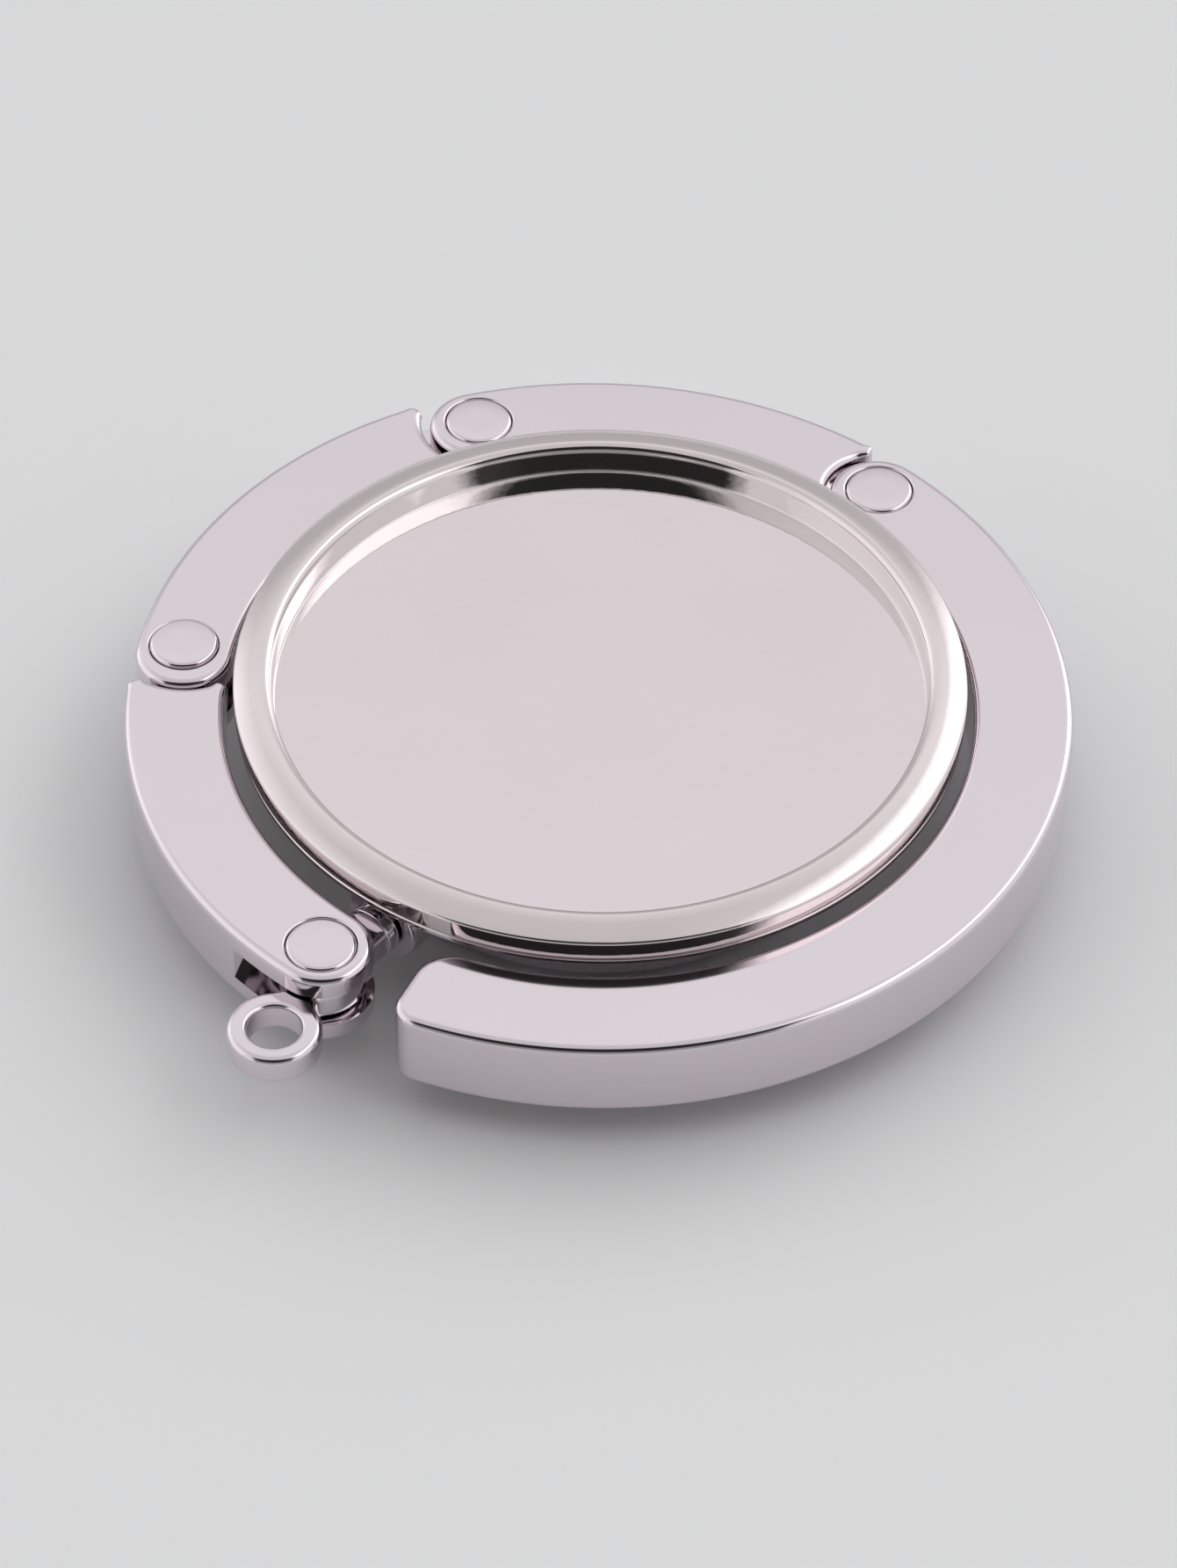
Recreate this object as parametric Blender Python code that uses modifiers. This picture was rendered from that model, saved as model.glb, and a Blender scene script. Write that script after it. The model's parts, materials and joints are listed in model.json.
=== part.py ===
"""Folding purse hook: a round tray on a base drum, ringed by four hinged links.

Units are metres. The origin is the centre of the non-slip pad's underside and +Z is up.
Plan angles are in degrees, anticlockwise from +X as seen from above.
"""
import math

import bmesh
import bpy
from mathutils import Matrix, Vector

# Ring of links
pivot_radius = 0.0203
link_inner_half = 0.00245
link_outer_half = 0.0023
link_height = 0.00415
link_bottom = 0.0022
link_edge_round = 0.0003
tip_angle = 245.0
tip_inner_round = 0.0018
tip_outer_round = 0.001

# Hinge places: plan angle, and how far each lies outside the pivot radius
hinge_angles = (232.2, 170.7, 107.6, 47.6)
hinge_offset_out = 0.0003
hinge_offset_shares = (1.0, 0.0, 1.0, 0.0)

# Hinge joints: round fork end, hollow end with its tongue
plate_thickness = 0.00115
tongue_thickness = 0.00155
fork_end_extra = 0.00035
fork_end_shares = (0.0, 1.0, 0.3, 0.0)
hollow_end_gap = 0.00308
hollow_end_radius = 0.0035
corner_round = 0.0007
eye_radius = 0.002
tongue_half_width = 0.0015
tongue_root = 0.0013
opening_angle = 50.0

# Rivets
rivet_shank_radius = 0.0009
rivet_head_radius = 0.00165
rivet_head_depth = 0.0007
rivet_edge_round = 0.00018
rivet_rise = 0.00004
rivet_extra_rise = 0.00014
rivet_extra_shares = (0.0, 1.0, 0.0, 0.0)

# Tray
ring_gap = 0.0004
tray_above_links = 0.00005
tray_floor_thickness = 0.00037
tray_corner_round = 0.00012
rim_height = 0.00155
rim_width = 0.0019
rim_crest_round = 0.00015
rim_dome_radius = 0.0028
rim_dome_tilts = (4, 32)
rim_corner_round = 0.0002
lip_inset = 0.00005
lip_thickness = 0.00037
lip_edge_round = 0.0001
lip_groove_depth = 0.00025
lip_groove_height = 0.00015

# Base drum and pad
drum_set_back = 0.00485
drum_wall = 0.0012
drum_top_thickness = 0.0005
drum_edge_round = 0.0003
drum_lip = 0.0006
pad_thickness = 0.0014
pad_stands_out = 0.0005
pad_edge_round = 0.0002
boss_radius = 0.002
boss_set_back = 0.00105

# Swivel stud with its eyelet
swivel_shank_radius = 0.0008
collar_radius = 0.0013
collar_length = 0.0007
neck_half_width = 0.0011
eyelet_distance = 0.0043
eyelet_side_step = 0.0008
eyelet_radius = 0.0022
eyelet_hole_radius = 0.00125
eyelet_neck_half_width = 0.0009
stud_edge_round = 0.00035
eyelet_window = 0.0046
eyelet_window_depth = 0.0021
washer_radius = 0.0014
washer_thickness = 0.0004
peened_radius = 0.0011
peened_length = 0.0004

# Clearances and cutting
running_gap = 0.0001
rivet_gap = 0.00005
seat_gap = 0.00015
slot_gap = 0.00025
overrun = 0.001
chord_error = 0.00001
merge_distance = 0.000001

# Worked out from the sizes above
link_top = link_bottom + link_height
inner_radius = pivot_radius - link_inner_half
outer_radius = pivot_radius + link_outer_half
end_radius = (outer_radius - inner_radius) / 2
tray_radius = inner_radius - ring_gap
drum_radius = tray_radius - drum_set_back
pad_radius = drum_radius - drum_lip
boss_reach = tray_radius - boss_set_back
axis_height = link_bottom + link_height / 2
slot_height = link_height - 2 * plate_thickness
link_names = ("first_link", "second_link", "third_link", "hook_link")
swivel_angle = hinge_angles[0]


def polar(radius, degrees):
    turn = math.radians(degrees)
    return Vector((radius * math.cos(turn), radius * math.sin(turn)))


def hinge_point(index):
    """A hinge's place in plan, some hinges a little outside the pivot circle."""
    return polar(pivot_radius + hinge_offset_out * hinge_offset_shares[index], hinge_angles[index])


def arc_steps(radius, degrees):
    """Steps that keep a chord within chord_error of its arc."""
    step = math.degrees(2 * math.acos(1 - chord_error / radius))
    return max(2, math.ceil(abs(degrees) / step))


def arc(centre, radius, start, end):
    """Points along an arc from the start angle to the end angle."""
    count = arc_steps(radius, end - start)
    return [centre + polar(radius, start + (end - start) * i / count) for i in range(count + 1)]


def circle(centre, radius):
    return arc(centre, radius, 0, 360)[:-1]


def blend(start, corner, end, count=5):
    """A rounded corner: a near-circular curve from start to end, tangent to both sides."""
    turn = (corner - start).angle(end - corner)
    pull = 4 / 3 * math.tan(turn / 4) / math.tan(turn / 2)
    leave = start.lerp(corner, pull)
    arrive = end.lerp(corner, pull)
    points = []
    for i in range(count + 1):
        t = i / count
        u = 1 - t
        points.append(start * u ** 3 + leave * 3 * u * u * t + arrive * 3 * u * t * t + end * t ** 3)
    return points


def circles_meet(centre_a, radius_a, centre_b, radius_b, near):
    """The crossing of two circles that is nearer to the point near."""
    line = centre_b - centre_a
    gap = line.length
    along = (gap ** 2 + radius_a ** 2 - radius_b ** 2) / (2 * gap)
    across = math.sqrt(radius_a ** 2 - along ** 2)
    unit = line / gap
    side = Vector((-unit.y, unit.x))
    crossings = [centre_a + unit * along + side * across * sign for sign in (1, -1)]
    return min(crossings, key=lambda point: (point - near).length)


def angle_of(vector):
    return math.degrees(math.atan2(vector.y, vector.x))


def link_centre(index):
    """The centre of a link's arc, pivot_radius away from the pivots that it joins."""
    start = hinge_point(index)
    if index == len(link_names) - 1:
        return start - polar(pivot_radius, hinge_angles[index])
    return circles_meet(start, pivot_radius, hinge_point(index + 1), pivot_radius, Vector((0, 0)))


class PivotFrame:
    """Plan axes at a pivot: ahead runs out of a link's fork end, outward leaves the ring."""

    def __init__(self, centre, pivot):
        self.pivot = pivot
        self.outward = (pivot - centre).normalized()
        self.ahead = Vector((-self.outward.y, self.outward.x))

    def point(self, ahead, outward):
        return self.pivot + self.ahead * ahead + self.outward * outward


def fork_end(centre, index):
    """The round end of a link, a half circle as wide as the link, some set a little past the pivot."""
    shift = math.degrees(fork_end_extra * fork_end_shares[index] / pivot_radius)
    turn = angle_of(hinge_point(index) - centre) + shift
    middle = centre + polar(inner_radius + end_radius, turn)
    return arc(middle, end_radius, turn, turn + 180)


def hollow_end(centre, pivot):
    """The hollow end that faces the next link's round end, from inner to outer wall."""
    frame = PivotFrame(centre, pivot)
    middle = frame.point(hollow_end_gap - hollow_end_radius, 0)
    near = frame.point(hollow_end_gap, 0)
    inner = circles_meet(middle, hollow_end_radius, centre, inner_radius, near)
    outer = circles_meet(middle, hollow_end_radius, centre, outer_radius, near)
    from_angle = angle_of(inner - middle)
    to_angle = from_angle - (from_angle - angle_of(outer - middle)) % 360
    trim = math.degrees(corner_round / hollow_end_radius)
    inner_step = math.degrees(corner_round / inner_radius)
    outer_step = math.degrees(corner_round / outer_radius)
    on_inner = centre + polar(inner_radius, angle_of(inner - centre) + inner_step)
    on_outer = centre + polar(outer_radius, angle_of(outer - centre) + outer_step)
    face = arc(middle, hollow_end_radius, from_angle - trim, to_angle + trim)
    return blend(on_inner, inner, face[0]) + face[1:-1] + blend(face[-1], outer, on_outer)


def free_tip(centre):
    """The hook's free tip: a square end with a large inner and a small outer corner."""
    inner = centre + polar(inner_radius, tip_angle)
    outer = centre + polar(outer_radius, tip_angle)
    across = (outer - inner).normalized()
    on_inner = centre + polar(inner_radius, tip_angle + math.degrees(tip_inner_round / inner_radius))
    on_outer = centre + polar(outer_radius, tip_angle + math.degrees(tip_outer_round / outer_radius))
    inner_corner = blend(on_inner, inner, inner + across * tip_inner_round, 10)
    outer_corner = blend(outer - across * tip_outer_round, outer, on_outer, 8)
    return inner_corner + outer_corner


def link_outline(index):
    """A link in plan: outer wall, fork end, inner wall, then the hollow end or the tip."""
    centre = link_centre(index)
    fork = fork_end(centre, index)
    if index == len(link_names) - 1:
        far = free_tip(centre)
    else:
        far = hollow_end(centre, hinge_point(index + 1))
    outer = wall(centre, far[-1], fork[0], 1)
    inner = wall(centre, fork[-1], far[0], -1)
    return outer + fork + inner + far


def wall(centre, start, end, direction):
    """The points between two places on one circle, going the given way round."""
    from_angle = angle_of(start - centre)
    sweep = (direction * (angle_of(end - centre) - from_angle)) % 360
    return arc(centre, (start - centre).length, from_angle, from_angle + direction * sweep)[1:-1]


def tongue_outline(index):
    """A link's tongue: an eye round the next pivot on a neck rooted in the hollow end."""
    frame = PivotFrame(link_centre(index), hinge_point(index + 1))
    root = hollow_end_gap + tongue_root
    lean = math.degrees(math.asin(tongue_half_width / eye_radius))
    turn = angle_of(frame.ahead)
    eye = arc(frame.pivot, eye_radius, turn + lean, turn + 360 - lean)
    return [frame.point(root, -tongue_half_width)] + eye + [frame.point(root, tongue_half_width)]


def slot_outline(index):
    """The room that a fork leaves for its tongue, from stop face to open end."""
    frame = PivotFrame(link_centre(index), hinge_point(index))
    pocket = eye_radius + slot_gap
    outer_reach = link_outer_half + overrun
    inner_reach = link_inner_half + overrun
    end = end_radius + fork_end_extra + overrun
    if index == 0:
        stop_start = frame.point(-eyelet_window, outer_reach)
        stop_end = frame.point(-pocket, link_outer_half - eyelet_window_depth)
        stop_angle = angle_of(stop_end - frame.pivot)
        stop_end = frame.pivot + polar(pocket, stop_angle)
    else:
        turn = math.radians(opening_angle)
        along = frame.ahead * math.cos(turn) + frame.outward * math.sin(turn)
        across = frame.ahead * math.sin(turn) - frame.outward * math.cos(turn)
        flank = tongue_half_width + running_gap
        start = math.sqrt(pocket ** 2 - flank ** 2)
        stop_end = frame.pivot - across * flank + along * start
        stop_start = stop_end + along * (overrun + tongue_root)
        stop_angle = angle_of(stop_end - frame.pivot)
    inner_angle = angle_of(frame.point(-pocket, -pocket) - frame.pivot)
    sweep = (stop_angle - inner_angle) % 360
    back = arc(frame.pivot, pocket, stop_angle, stop_angle - sweep)
    corner = back[-1] - frame.outward * inner_reach
    open_end = [frame.point(end, outer_reach + overrun), stop_start]
    return open_end + back + [corner, frame.point(end, -inner_reach)]


def rivet_profile(rise, grow, extend):
    """Radius and height points of a rivet, or of its hole when grown and extended."""
    head = rivet_head_radius + grow
    shank = rivet_shank_radius + grow
    depth = rivet_head_depth + grow
    top = link_top + rise + extend
    bottom = link_bottom - extend
    edge = rivet_edge_round
    return [(0, top), (head - edge, top), (head, top - edge), (head, link_top - depth),
            (shank, link_top - depth), (shank, link_bottom + depth), (head, link_bottom + depth),
            (head, bottom + edge), (head - edge, bottom), (0, bottom)]


def bend(middle, radius, first, last, count):
    """Section points of a rounding, from the first to the last tilt of its surface off the vertical."""
    points = []
    for i in range(count + 1):
        tilt = math.radians(first + (last - first) * i / count)
        points.append((middle[0] + radius * math.sin(tilt), middle[1] + radius * math.cos(tilt)))
    return points


def tray_profile():
    """Half section of the tray: thin floor, leaning wall, domed rim, straight side and a lip."""
    under = link_top + tray_above_links
    floor = under + tray_floor_thickness
    crest_top = floor + rim_height
    foot = tray_radius - rim_width
    start, end = rim_dome_tilts
    side_middle = tray_radius - rim_corner_round
    spread = rim_dome_radius - rim_corner_round
    dome = (side_middle - spread * math.sin(math.radians(end)),
            crest_top - rim_dome_radius * math.cos(math.radians(start)))
    side = (side_middle, dome[1] + spread * math.cos(math.radians(end)))
    rise = rim_dome_radius - rim_crest_round
    crest = (dome[0] + rise * math.sin(math.radians(start)), dome[1] + rise * math.cos(math.radians(start)))
    lean = math.degrees(math.atan2(crest[0] - rim_crest_round - foot, crest[1] - floor))
    points = [(0, floor)]
    root = (foot - tray_corner_round, floor + tray_corner_round)
    points += bend(root, tray_corner_round, 180, 90 + lean, 3)
    points += bend(crest, rim_crest_round, lean - 90, start, 4)
    points += bend(dome, rim_dome_radius, start, end, 6)[1:]
    points += bend(side, rim_corner_round, end, 90, 3)[1:]
    return points + lip_profile(under)


def lip_profile(under):
    """Section points of the groove below the tray's side, the lip and the flat underside."""
    lip_top = under + lip_thickness
    lip_radius = tray_radius - lip_inset
    edge = (lip_radius - lip_edge_round, lip_top - lip_edge_round)
    low_edge = (edge[0], under + lip_edge_round)
    groove = [(tray_radius, lip_top + lip_groove_height), (tray_radius - lip_groove_depth, lip_top)]
    rounding = bend(edge, lip_edge_round, 0, 90, 2) + bend(low_edge, lip_edge_round, 90, 180, 2)
    return groove + rounding + [(0, under)]


def drum_profile():
    """Half section of the base drum: a cup, mouth down, with a seat for the pad."""
    top = link_top + tray_above_links - running_gap
    seat = pad_radius + seat_gap
    seat_height = pad_thickness + seat_gap
    cavity = drum_radius - drum_wall
    edge = drum_edge_round
    return [(0, top), (drum_radius - edge, top), (drum_radius, top - edge),
            (drum_radius, pad_stands_out + edge), (drum_radius - edge, pad_stands_out),
            (seat, pad_stands_out), (seat, seat_height), (cavity, seat_height),
            (cavity, top - drum_top_thickness), (0, top - drum_top_thickness)]


def pad_profile():
    edge = pad_edge_round
    return [(0, pad_thickness), (pad_radius - edge, pad_thickness), (pad_radius, pad_thickness - edge),
            (pad_radius, edge), (pad_radius - edge, 0), (0, 0)]


def eyelet_hole_profile():
    """A hole with rounded rims: it widens towards both faces of the eyelet."""
    face = tongue_thickness / 2
    edge = stud_edge_round
    wide = eyelet_hole_radius + edge
    rim = []
    for i in range(4):
        turn = math.pi / 2 * i / 3
        rim.append((wide - edge * math.sin(turn), face - edge * (1 - math.cos(turn))))
    rim += [(radius, -rise) for radius, rise in reversed(rim)]
    return [(0, face + overrun), (wide, face + overrun)] + rim + [(wide, -face - overrun), (0, -face - overrun)]


def stud_outline():
    """The stud's flat part along +X: collar root, eye round the first rivet and eyelet."""
    pivot = Vector((hinge_point(0).length, 0))
    eyelet = pivot + Vector((eyelet_distance, eyelet_side_step))
    start = boss_reach + seat_gap + collar_length / 2
    inner_lean = math.degrees(math.asin(neck_half_width / eye_radius))
    outer_turn = angle_of(eyelet - pivot)
    outer_lean = math.degrees(math.asin(eyelet_neck_half_width / eye_radius))
    ring_lean = math.degrees(math.asin(eyelet_neck_half_width / eyelet_radius))
    right = arc(pivot, eye_radius, 180 + inner_lean, 360 + outer_turn - outer_lean)
    left = arc(pivot, eye_radius, outer_turn + outer_lean, 180 - inner_lean)
    ring = arc(eyelet, eyelet_radius, outer_turn - 180 + ring_lean, outer_turn + 180 - ring_lean)
    return [Vector((start, -neck_half_width))] + right + ring + left + [Vector((start, neck_half_width))]


def collection(name):
    made = bpy.data.collections.new(name)
    bpy.context.scene.collection.children.link(made)
    return made


def material(name, color, roughness, metallic):
    made = bpy.data.materials.new(name)
    made.use_nodes = True
    shader = made.node_tree.nodes["Principled BSDF"]
    shader.inputs["Base Color"].default_value = (*color, 1)
    shader.inputs["Roughness"].default_value = roughness
    shader.inputs["Metallic"].default_value = metallic
    made.diffuse_color = (*color, 1)
    return made


def empty(name, parent, place):
    """An empty that marks a joint's axis; place is in world coordinates."""
    made = bpy.data.objects.new(name, None)
    parts.objects.link(made)
    made.parent = parent
    made.location = place - (parent.matrix_world.translation if parent else Vector((0, 0, 0)))
    bpy.context.view_layer.update()
    return made


def flat_solid(name, outlines, thickness, height, origin=None):
    """A flat solid cut to closed outlines, thickness deep and centred on the height."""
    origin = origin or Vector((0, 0))
    curve = bpy.data.curves.new(name, "CURVE")
    curve.dimensions = "2D"
    curve.fill_mode = "BOTH"
    curve.extrude = thickness / 2
    for outline in outlines:
        spline = curve.splines.new("POLY")
        spline.points.add(len(outline) - 1)
        for point, place in zip(spline.points, outline):
            point.co = (place.x - origin.x, place.y - origin.y, 0, 1)
        spline.use_cyclic_u = True
    drawn = bpy.data.objects.new(name, curve)
    parts.objects.link(drawn)
    bpy.context.view_layer.update()
    mesh = bpy.data.meshes.new_from_object(drawn.evaluated_get(bpy.context.evaluated_depsgraph_get()))
    bpy.data.objects.remove(drawn)
    bpy.data.curves.remove(curve)
    solid = bmesh.new()
    solid.from_mesh(mesh)
    bmesh.ops.remove_doubles(solid, verts=solid.verts, dist=merge_distance)
    bmesh.ops.dissolve_limit(solid, angle_limit=math.radians(0.5), verts=solid.verts, edges=solid.edges)
    bmesh.ops.recalc_face_normals(solid, faces=solid.faces)
    bmesh.ops.translate(solid, verts=solid.verts, vec=(0, 0, height))
    solid.to_mesh(mesh)
    solid.free()
    made = bpy.data.objects.new(name, mesh)
    parts.objects.link(made)
    made.location = (origin.x, origin.y, 0)
    return made


def inset(outline, depth):
    """A closed anticlockwise outline moved inwards by the depth, point for point."""
    moved = []
    for i, place in enumerate(outline):
        before = (place - outline[i - 1]).normalized()
        after = (outline[(i + 1) % len(outline)] - place).normalized()
        inward = Vector((-before.y - after.y, before.x + after.x)) / (1 + before.dot(after))
        moved.append(place + inward * depth)
    return moved


def rounded_plate(name, outline, thickness, height, edge, origin=None, segments=2):
    """A plate with rounded edges, stacked from insets of one outline."""
    origin = origin or Vector((0, 0))
    levels = []
    for i in range(segments + 1):
        turn = math.pi / 2 * i / segments
        levels.append((edge * (1 - math.sin(turn)), thickness / 2 - edge * (1 - math.cos(turn))))
    levels += [(depth, -rise) for depth, rise in reversed(levels)]
    count = len(outline)
    points = []
    for depth, rise in levels:
        points += [(p.x - origin.x, p.y - origin.y, height + rise) for p in inset(outline, depth)]
    faces = [tuple(range(count)), tuple(range(len(points) - 1, len(points) - count - 1, -1))]
    for level in range(len(levels) - 1):
        for i in range(count):
            top, bottom = level * count, (level + 1) * count
            after = (i + 1) % count
            faces.append((top + i, bottom + i, bottom + after, top + after))
    mesh = bpy.data.meshes.new(name)
    mesh.from_pydata(points, [], faces)
    made = bpy.data.objects.new(name, mesh)
    parts.objects.link(made)
    made.location = (origin.x, origin.y, 0)
    return made


def turned(name, profile, origin=None):
    """A turned solid from radius and height points that run down its outer side."""
    mesh = bpy.data.meshes.new(name)
    points = [(radius, 0, height) for radius, height in profile]
    mesh.from_pydata(points, [(i, i + 1) for i in range(len(points) - 1)], [])
    made = bpy.data.objects.new(name, mesh)
    parts.objects.link(made)
    if origin:
        made.location = (origin.x, origin.y, 0)
    screw = made.modifiers.new("Turn", "SCREW")
    screw.axis = "Z"
    screw.angle = math.tau
    steps = arc_steps(max(radius for radius, height in profile), 360)
    screw.steps = screw.render_steps = steps
    screw.use_merge_vertices = True
    screw.merge_threshold = merge_distance
    return made


def rod(name, radius, start, end, height, direction):
    """A cylinder lying along a plan direction, between two distances from the centre."""
    bpy.ops.mesh.primitive_cylinder_add(vertices=arc_steps(radius, 360), radius=radius, depth=end - start)
    made = bpy.context.object
    made.name = made.data.name = name
    turn = Matrix.Rotation(math.radians(direction), 4, "Z")
    lie = Matrix.Rotation(math.radians(90), 4, "Y")
    slide = Matrix.Translation(((start + end) / 2, 0, height))
    made.data.transform(turn @ slide @ lie)
    for holder in made.users_collection:
        holder.objects.unlink(made)
    parts.objects.link(made)
    return made


def combine(piece, tool, operation):
    """Cut the tool out of a piece or join it on, and set the tool aside."""
    boolean = piece.modifiers.new(tool.name, "BOOLEAN")
    boolean.operation = operation
    boolean.solver = "EXACT"
    boolean.object = tool
    parts.objects.unlink(tool)
    cutters.objects.link(tool)
    tool.hide_render = True
    tool.display_type = "WIRE"


def finish(piece, colour, parent, shift=None):
    """Give a piece its material and smooth shading, and hang it on its empty."""
    piece.data.materials.clear()
    piece.data.materials.append(colour)
    piece.data.shade_smooth()
    piece.data.set_sharp_from_angle(angle=math.radians(35))
    world = piece.matrix_world.copy() if shift is None else shift
    piece.parent = parent
    piece.matrix_parent_inverse = parent.matrix_world.inverted()
    piece.matrix_world = world


def make_link(index, parent):
    """One link: a plate with rounded edges, forked at its pivot, with a tongue on its far end."""
    name = link_names[index]
    pivot = hinge_point(index)
    link = rounded_plate(name, link_outline(index), link_height, axis_height, link_edge_round, pivot)
    combine(link, flat_solid(f"{name}_slot", [slot_outline(index)], slot_height, axis_height, pivot),
            "DIFFERENCE")
    combine(link, turned(f"{name}_rivet_hole", rivet_profile(0, rivet_gap, overrun), pivot), "DIFFERENCE")
    if index < len(link_names) - 1:
        hole = circle(hinge_point(index + 1), rivet_shank_radius + running_gap)
        tongue = flat_solid(f"{name}_tongue", [tongue_outline(index), hole],
                            tongue_thickness, axis_height, pivot)
        combine(link, tongue, "UNION")
    bpy.context.view_layer.update()
    finish(link, material(name, plated_color, plated_roughness, 1), parent)


def make_rivet(index, parent):
    """A shouldered rivet with a flush head at each face of the fork."""
    rise = rivet_rise + rivet_extra_rise * rivet_extra_shares[index]
    rivet = turned(f"hinge_rivet_{index + 1}", rivet_profile(rise, 0, 0), hinge_point(index))
    bpy.context.view_layer.update()
    finish(rivet, material(rivet.name, plated_color, plated_roughness, 1), parent)


def make_base(parent):
    """The tray, the drum under it with the swivel's boss, and the pad in its seat."""
    tray = turned("tray", tray_profile())
    drum = turned("base_drum", drum_profile())
    boss_start = drum_radius - drum_wall / 2
    combine(drum, rod("boss", boss_radius, boss_start, boss_reach, axis_height, swivel_angle), "UNION")
    bore_start = drum_radius - drum_wall - overrun
    combine(drum, rod("swivel_bore", swivel_shank_radius + running_gap, bore_start,
                      boss_reach + overrun, axis_height, swivel_angle), "DIFFERENCE")
    pad = turned("non_slip_pad", pad_profile())
    finish(tray, material("tray", tray_color, plated_roughness, 1), parent)
    finish(drum, material("base_drum", plated_color, plated_roughness, 1), parent)
    finish(pad, material("non_slip_pad", pad_color, pad_roughness, 0), parent)


def make_stud(parent):
    """The swivel stud: flat eye and eyelet, collar, round shank and its peened end."""
    turn = Matrix.Rotation(math.radians(swivel_angle), 4, "Z")
    pivot = Vector((hinge_point(0).length, 0))
    eyelet = pivot + Vector((eyelet_distance, eyelet_side_step))
    stud = rounded_plate("swivel_stud", stud_outline(), tongue_thickness, 0, stud_edge_round, None, 3)
    eye = [circle(pivot, rivet_shank_radius + running_gap)]
    combine(stud, flat_solid("eye_hole", eye, tongue_thickness + overrun, 0), "DIFFERENCE")
    combine(stud, turned("eyelet_hole", eyelet_hole_profile(), eyelet), "DIFFERENCE")
    collar_start = boss_reach + seat_gap
    inside = drum_radius - drum_wall
    washer_end = inside - seat_gap - running_gap
    peened_end = washer_end - washer_thickness - running_gap
    combine(stud, rod("collar", collar_radius, collar_start, collar_start + collar_length, 0, 0), "UNION")
    combine(stud, rod("shank", swivel_shank_radius, peened_end - peened_length / 2,
                      collar_start + collar_length / 2, 0, 0), "UNION")
    combine(stud, rod("peened_end", peened_radius, peened_end - peened_length, peened_end, 0, 0), "UNION")
    washer = rod("swivel_washer", washer_radius, washer_end - washer_thickness, washer_end, 0, 0)
    combine(washer, rod("washer_hole", swivel_shank_radius + running_gap, washer_end - washer_thickness - overrun,
                        washer_end + overrun, 0, 0), "DIFFERENCE")
    place = Matrix.Translation((0, 0, axis_height)) @ turn
    for piece in (stud, washer):
        for modifier in piece.modifiers:
            if modifier.type == "BOOLEAN":
                modifier.object.matrix_world = place @ modifier.object.matrix_world
        finish(piece, material(piece.name, plated_color, plated_roughness, 1), parent, place)


plated_color = (0.78, 0.76, 0.76)
tray_color = (0.79, 0.76, 0.76)
pad_color = (0.03, 0.03, 0.032)
plated_roughness = 0.08
pad_roughness = 0.8

for old in list(bpy.data.objects):
    bpy.data.objects.remove(old)
parts = collection("folding_purse_hook")
cutters = collection("cutters")

base = empty("base", None, Vector((0, 0, 0)))
make_base(base)
swivel = empty("swivel_axis", base, Vector((0, 0, axis_height)))
make_stud(swivel)
holder = swivel
for number in range(len(link_names)):
    holder = empty(f"hinge_axis_{number + 1}", holder, hinge_point(number).to_3d())
    make_link(number, holder)
    make_rivet(number, holder)
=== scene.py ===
"""Folding purse hook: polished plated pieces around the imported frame, on a pale studio floor."""
import json
import math
from collections import namedtuple

import bpy
import numpy as np
from bpy.props import FloatProperty, FloatVectorProperty, PointerProperty
from mathutils import Matrix, Vector


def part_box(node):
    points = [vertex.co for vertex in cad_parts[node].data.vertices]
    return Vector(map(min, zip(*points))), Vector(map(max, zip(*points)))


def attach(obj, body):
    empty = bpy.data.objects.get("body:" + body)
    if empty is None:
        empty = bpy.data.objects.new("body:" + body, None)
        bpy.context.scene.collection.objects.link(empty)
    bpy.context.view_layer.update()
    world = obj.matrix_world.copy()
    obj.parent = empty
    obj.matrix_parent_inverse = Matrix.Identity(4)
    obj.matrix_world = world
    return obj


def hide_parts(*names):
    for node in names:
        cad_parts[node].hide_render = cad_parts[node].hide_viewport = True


bl_info = {
    "name": "Folding Purse Hook",
    "version": (1, 0, 0),
    "blender": (4, 5, 0),
    "location": "View3D > Sidebar > Purse Hook",
    "description": "Builds a folding purse hook with polished plating on a pale studio floor",
    "category": "Add Mesh",
}

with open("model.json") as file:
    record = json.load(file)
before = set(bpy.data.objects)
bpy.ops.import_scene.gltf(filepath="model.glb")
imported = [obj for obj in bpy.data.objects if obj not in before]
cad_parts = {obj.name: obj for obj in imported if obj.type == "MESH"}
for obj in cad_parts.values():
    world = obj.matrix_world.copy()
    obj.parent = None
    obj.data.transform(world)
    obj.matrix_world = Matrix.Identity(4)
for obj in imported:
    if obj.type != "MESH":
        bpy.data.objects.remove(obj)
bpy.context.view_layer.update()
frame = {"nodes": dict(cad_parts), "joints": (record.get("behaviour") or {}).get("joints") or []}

joints = {joint["name"]: joint for joint in frame["joints"]}
hinge_names = ("first_hinge", "second_hinge", "third_hinge", "hook_hinge")
link_nodes = ("first_link", "second_link", "third_link", "hook_link")
link_bodies = ("link_one", "link_two", "link_three", "hook")
pivots = [np.array(joints[name]["pos_m"][:2]) for name in hinge_names]
link_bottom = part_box("hook_link")[0].z
link_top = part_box("hook_link")[1].z
tray_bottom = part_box("tray")[0].z
axis_height = joints["swivel"]["pos_m"][2]
swivel_out = np.array(joints["swivel"]["axis"][:2])

# Gaps, and how far a cutting tool runs past the piece, in metres
running_gap = 0.0001
rivet_gap = 0.00003
seat_gap = 0.00015
slot_gap = 0.00025
overrun = 0.001

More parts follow.
